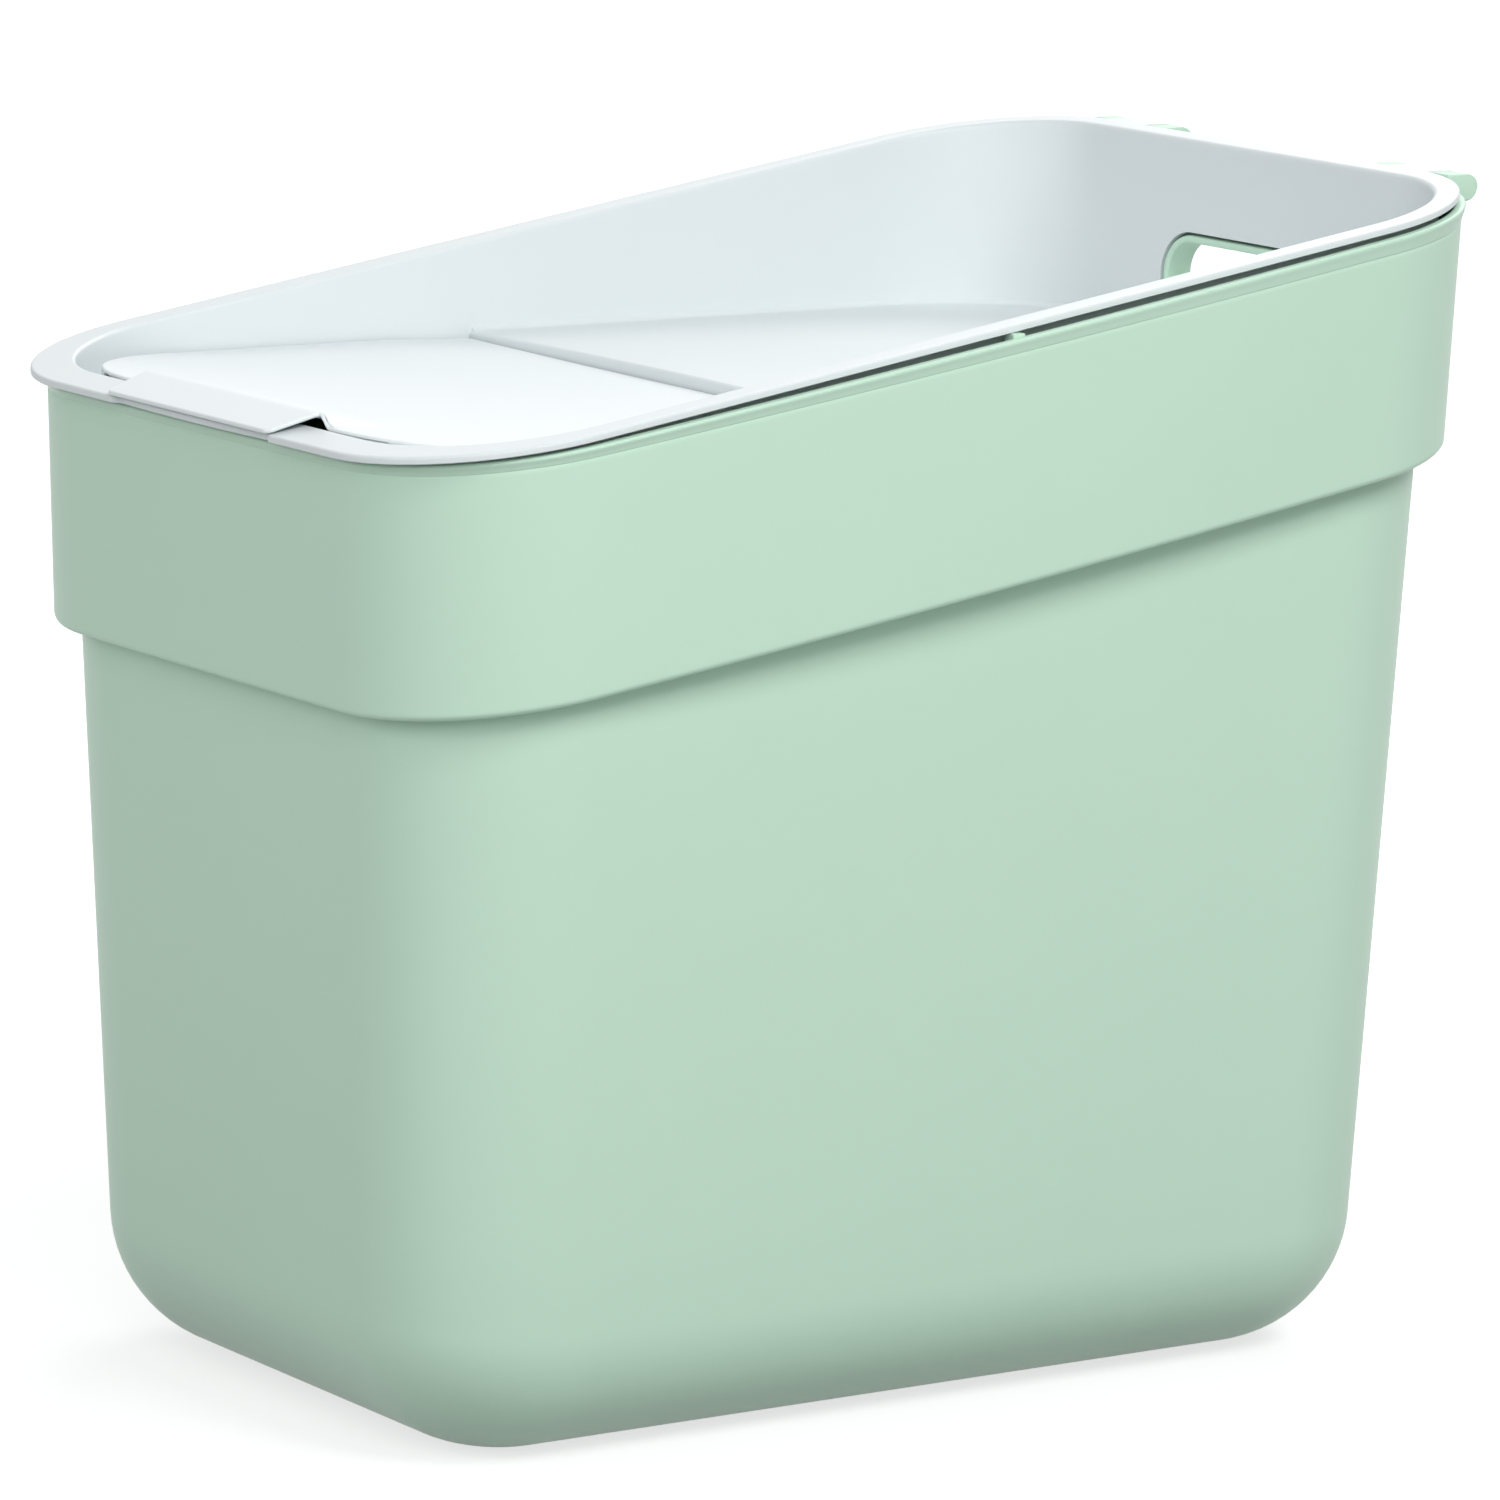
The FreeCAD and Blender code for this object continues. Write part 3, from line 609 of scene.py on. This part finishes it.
# The strip behind the axis turns down past the well wall when the flap opens, so it is narrower.
flap_half -= 0.6 * smooth((flap_y + 32.0) / 5.0)
s, c = bend(EDGE, 0, 90, 6)
flap_rings = [(ss, EDGE - cc, 0, 0) for ss, cc in zip(s[1:], c[1:])]
flap_rings += [(EDGE, 0.8, 0, 0), (EDGE, 0.85, 1, 278.3), (EDGE - 0.3, 1.0, 1, 277.8), (0, 1.15, 1, 277.8),
               (-0.3, 1.25, 1, 278.3)]


def skirt(x, y):
    """Share of the full skirt: all of it, but none at the front, where the flap is open under the tab."""
    return smooth((np.abs(x) - 76.0) / 8.0 + (y > -150))


flap = shell("flap_shell", flap_y, flap_half, np.linspace(-1, 1, 201), flap_top, flap_rings, 1.5, skirt)


def lip_top(x, y):
    """Height of the lip: the lower of the flap's swell and a straight fall from the crest to the front.

    The lower of a and b is rounded off as (a + b - sqrt((a - b)^2 + 0.25)) / 2. Behind the crest the
    lip dives under the flap's own top.
    """
    fall = CREST_Z - (CREST_Y - y) * 4.5 / 14.5
    climb = np.where(y < CREST_Y, CREST_Z + (CREST_Y - y) * 0.3, flap_top(x, y))
    ridge = (fall + climb - np.sqrt((fall - climb) ** 2 + 0.25)) / 2
    return ridge - 0.4 * smooth((y + 171.4) / 1.5)


LIP_SOFT = 0.7
lip_corner = np.radians(np.linspace(0, 90, 10))
LIP_CORNER = 1.5
lip_front = -188.0 + LIP_SOFT
lip_y = np.concatenate([np.linspace(-169.0, -177.0, 21), [-179.0, -182.0, -185.0],
                        lip_front + LIP_CORNER * (1 - np.sin(lip_corner))])
lip_w = 46.0 - LIP_SOFT - 3.0 * np.clip((CREST_Y - lip_y) / 14.6, 0, 1)
lip_w[24:] -= LIP_CORNER * (1 - np.cos(lip_corner))
s, c = bend(LIP_SOFT, 0, 90, 5)
lip_rings = [(ss, LIP_SOFT - cc, 0, 0) for ss, cc in zip(s[1:], c[1:])]
lip_rings += [(LIP_SOFT * 0.98, 1.0, 0, 0), (LIP_SOFT * 0.8, 1.3, 0, 0), (LIP_SOFT * 0.4, 1.4, 0, 0)]
tab_lip = shell("tab_lip", lip_y, lip_w, np.linspace(-1, 1, 41), lip_top, lip_rings, 1.4)
print("flap polygons", len(flap.data.polygons), "lip polygons", len(tab_lip.data.polygons))

# %% [markdown]
# ## What moves with what
# The imported model knows three bodies: the bin, the lid and the flap. Each new piece says which one
# it rides on, and the ones that stand for a imported solid hide it.

# %% Ride and replace
for piece in [tub, slot_sleeve] + ears + pads:
    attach(piece, "bin")
for piece in [lid_ring, deck] + tongues:
    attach(piece, "lid")
for piece in (flap, tab_lip):
    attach(piece, "flap")
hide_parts("tub")
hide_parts("lid_frame")
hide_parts("front_flap")
print("pieces on the bin", 2 + len(ears) + len(pads), "on the lid", 2 + len(tongues), "on the flap", 2)

# %% [markdown]
# ## Moulded polypropylene
# All three colours are the same plastic: a fine satin grain from the mould, faint flow clouds in the
# colour, and a roughness that is not quite even. That is one effect for all the materials, so it is a
# node group. It puts out a colour factor, a roughness and a height, and the shader itself stays in
# each material.

# %% The grain group
grain = bpy.data.node_groups.new("moulded_grain", "ShaderNodeTree")
for socket, value in (("Grain Scale", 1400.0), ("Cloud Scale", 9.0), ("Cloud", 0.04),
                      ("Roughness", 0.4), ("Unevenness", 0.08)):
    made = grain.interface.new_socket(socket, in_out="INPUT", socket_type="NodeSocketFloat")
    made.default_value = value
for socket in ("Shade", "Roughness", "Height"):
    grain.interface.new_socket(socket, in_out="OUTPUT", socket_type="NodeSocketFloat")


def add(tree, kind, **settings):
    """New node with its settings."""
    node = tree.nodes.new(kind)
    for key, value in settings.items():
        setattr(node, key, value)
    return node


entry = add(grain, "NodeGroupInput")
leave = add(grain, "NodeGroupOutput")
place = add(grain, "ShaderNodeTexCoord")
fine = add(grain, "ShaderNodeTexNoise")
fine.inputs["Detail"].default_value = 3.0
cloud = add(grain, "ShaderNodeTexNoise")
cloud.inputs["Detail"].default_value = 4.0
cloud.inputs["Roughness"].default_value = 0.55
for noise, scale in ((fine, "Grain Scale"), (cloud, "Cloud Scale")):
    grain.links.new(place.outputs["Object"], noise.inputs["Vector"])
    grain.links.new(entry.outputs[scale], noise.inputs["Scale"])
centred = add(grain, "ShaderNodeMath", operation="SUBTRACT")
centred.inputs[1].default_value = 0.5
grain.links.new(cloud.outputs["Fac"], centred.inputs[0])
shade = add(grain, "ShaderNodeMath", operation="MULTIPLY_ADD")
grain.links.new(centred.outputs[0], shade.inputs[0])
grain.links.new(entry.outputs["Cloud"], shade.inputs[1])
shade.inputs[2].default_value = 1.0
grain.links.new(shade.outputs[0], leave.inputs["Shade"])
mixed = add(grain, "ShaderNodeMath", operation="ADD")
grain.links.new(cloud.outputs["Fac"], mixed.inputs[0])
grain.links.new(fine.outputs["Fac"], mixed.inputs[1])
offset = add(grain, "ShaderNodeMath", operation="SUBTRACT")
offset.inputs[1].default_value = 1.0
grain.links.new(mixed.outputs[0], offset.inputs[0])
rough = add(grain, "ShaderNodeMath", operation="MULTIPLY_ADD")
grain.links.new(offset.outputs[0], rough.inputs[0])
grain.links.new(entry.outputs["Unevenness"], rough.inputs[1])
grain.links.new(entry.outputs["Roughness"], rough.inputs[2])
grain.links.new(rough.outputs[0], leave.inputs["Roughness"])
grain.links.new(fine.outputs["Fac"], leave.inputs["Height"])
print("grain group nodes", len(grain.nodes))

# %% [markdown]
# ## The three finishes
# The tub is a pale grey-green, the lid frame a cool white, and the flap a slightly lighter white with
# more sheen. The colour is written once and the grain group's shade is multiplied over it.

# %% Materials
def plastic(name, colour, roughness, cloud_amount, bump, specular):
    """Principled plastic: base colour times the grain's shade, its roughness, and a faint bump."""
    material = bpy.data.materials.new(name)
    material.use_nodes = True
    tree = material.node_tree
    shader = tree.nodes["Principled BSDF"]
    group = add(tree, "ShaderNodeGroup", node_tree=grain)
    group.inputs["Roughness"].default_value = roughness
    group.inputs["Cloud"].default_value = cloud_amount
    tint = add(tree, "ShaderNodeMix", data_type="RGBA", blend_type="MULTIPLY")
    tint.inputs[0].default_value = 1.0
    tint.inputs[6].default_value = (*colour, 1.0)
    tree.links.new(group.outputs["Shade"], tint.inputs[7])
    tree.links.new(tint.outputs[2], shader.inputs["Base Color"])
    tree.links.new(group.outputs["Roughness"], shader.inputs["Roughness"])
    relief = add(tree, "ShaderNodeBump")
    relief.inputs["Strength"].default_value = bump
    relief.inputs["Distance"].default_value = 0.00005
    tree.links.new(group.outputs["Height"], relief.inputs["Height"])
    tree.links.new(relief.outputs["Normal"], shader.inputs["Normal"])
    shader.inputs["IOR"].default_value = 1.49
    shader.inputs["Specular IOR Level"].default_value = specular
    material.diffuse_color = (*colour, 1.0)
    return material


green = plastic("tub_green", (0.562, 0.775, 0.628), 0.42, 0.05, 0.25, 0.3)
white = plastic("lid_white", (0.725, 0.775, 0.785), 0.4, 0.02, 0.05, 0.45)
pale = plastic("flap_white", (0.79, 0.84, 0.85), 0.38, 0.02, 0.05, 0.6)
pins = [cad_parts["hinge_pin_left"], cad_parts["hinge_pin_right"]]
for material, pieces in ((green, [tub, slot_sleeve] + ears + pads + pins),
                         (white, [lid_ring, deck] + tongues), (pale, [flap, tab_lip])):
    for piece in pieces:
        piece.data.materials.clear()
        piece.data.materials.append(material)
print("materials", green.name, white.name, pale.name)

# %% [markdown]
# ## Floor, backdrop and light
# The photograph is a studio shot on pure white. The camera, and what the plastic mirrors, see a white
# floor and surround. The rays that only light the bin see a softer one, so the white adds little light.
# The light is plain: a pale surround, two panels on the right, one behind, and weaker ones in front
# and on the left. The panels stand high, which leaves the foot of the tub a little darker.

# %% Stage and lamps
def stage_sheet(name, corners, material):
    """Flat sheet of the studio."""
    mesh = bpy.data.meshes.new(name)
    mesh.from_pydata([Vector(corner) for corner in corners], [], [(0, 1, 2, 3)])
    made = bpy.data.objects.new(name, mesh)
    bpy.context.scene.collection.objects.link(made)
    made.data.materials.append(material)
    return made


def seen_rays(tree):
    """Node that is 1 for camera, glossy and transmission rays, and 0 for the rays that only light."""
    path = add(tree, "ShaderNodeLightPath")
    either = add(tree, "ShaderNodeMath", operation="MAXIMUM")
    all_three = add(tree, "ShaderNodeMath", operation="MAXIMUM")
    tree.links.new(path.outputs["Is Camera Ray"], either.inputs[0])
    tree.links.new(path.outputs["Is Glossy Ray"], either.inputs[1])
    tree.links.new(either.outputs[0], all_three.inputs[0])
    tree.links.new(path.outputs["Is Transmission Ray"], all_three.inputs[1])
    return all_three


def studio_white(name, near, far):
    """Matt pale paper with light of its own that only the seen rays meet, so that it reads white.

    The extra light grows with the distance from the bin, so only the shadow at its foot stays.
    """
    material = bpy.data.materials.new(name)
    material.use_nodes = True
    tree = material.node_tree
    shader = tree.nodes["Principled BSDF"]
    shader.inputs["Base Color"].default_value = (0.4, 0.4, 0.4, 1.0)
    shader.inputs["Roughness"].default_value = 0.9
    shader.inputs["Specular IOR Level"].default_value = 0.0
    seen = seen_rays(tree)
    spot = add(tree, "ShaderNodeTexCoord")
    reach = add(tree, "ShaderNodeVectorMath", operation="LENGTH")
    tree.links.new(spot.outputs["Object"], reach.inputs[0])
    grow = add(tree, "ShaderNodeMapRange")
    for number, value in enumerate((0.25, 0.8, near, far), 1):
        grow.inputs[number].default_value = value
    tree.links.new(reach.outputs["Value"], grow.inputs["Value"])
    level = add(tree, "ShaderNodeMath", operation="MULTIPLY")
    tree.links.new(grow.outputs["Result"], level.inputs[1])
    tree.links.new(seen.outputs[0], level.inputs[0])
    shader.inputs["Emission Color"].default_value = (1.0, 1.0, 1.0, 1.0)
    tree.links.new(level.outputs[0], shader.inputs["Emission Strength"])
    return material


floor = stage_sheet("floor", [(-6, -6, -0.0004), (6, -6, -0.0004), (6, 6, -0.0004), (-6, 6, -0.0004)],
                    studio_white("floor_paper", 0.71, 1.0))

world = bpy.data.worlds.new("studio")
bpy.context.scene.world = world
world.use_nodes = True
tree = world.node_tree
ground = tree.nodes["Background"]
ground.inputs["Color"].default_value = (0.97, 0.985, 1.0, 1.0)
ground.inputs["Strength"].default_value = 0.3
seen = add(tree, "ShaderNodeBackground")
seen.inputs["Color"].default_value = (1, 1, 1, 1)
seen.inputs["Strength"].default_value = 1.0
choose = add(tree, "ShaderNodeMixShader")
tree.links.new(seen_rays(tree).outputs[0], choose.inputs[0])
tree.links.new(ground.outputs[0], choose.inputs[1])
tree.links.new(seen.outputs[0], choose.inputs[2])
tree.links.new(choose.outputs[0], tree.nodes["World Output"].inputs["Surface"])


def panel(name, place, width, height, watts):
    """Soft rectangular lamp that looks at the upper half of the bin."""
    lamp = bpy.data.lights.new(name, "AREA")
    lamp.shape = "RECTANGLE"
    lamp.size = width
    lamp.size_y = height
    lamp.energy = watts
    made = bpy.data.objects.new(name, lamp)
    aim = Vector((0.0, 0.0, 0.25)) - Vector(place)
    made.matrix_world = Matrix.Translation(place) @ aim.to_track_quat("-Z", "Y").to_matrix().to_4x4()
    bpy.context.scene.collection.objects.link(made)
    return made


panel("right_panel", (1.6, 0.2, 1.6), 0.8, 0.8, 18.9)
panel("right_front_panel", (1.3, -0.9, 1.0), 1.0, 0.8, 10.4)
panel("front_panel", (-0.6, -1.9, 0.9), 1.2, 1.0, 6.6)
panel("left_panel", (-1.3, 0.6, 0.9), 1.2, 1.0, 1.4)
panel("rear_panel", (-0.9, 1.3, 1.6), 1.2, 1.0, 17.0)
bpy.context.scene.view_settings.view_transform = "Standard"
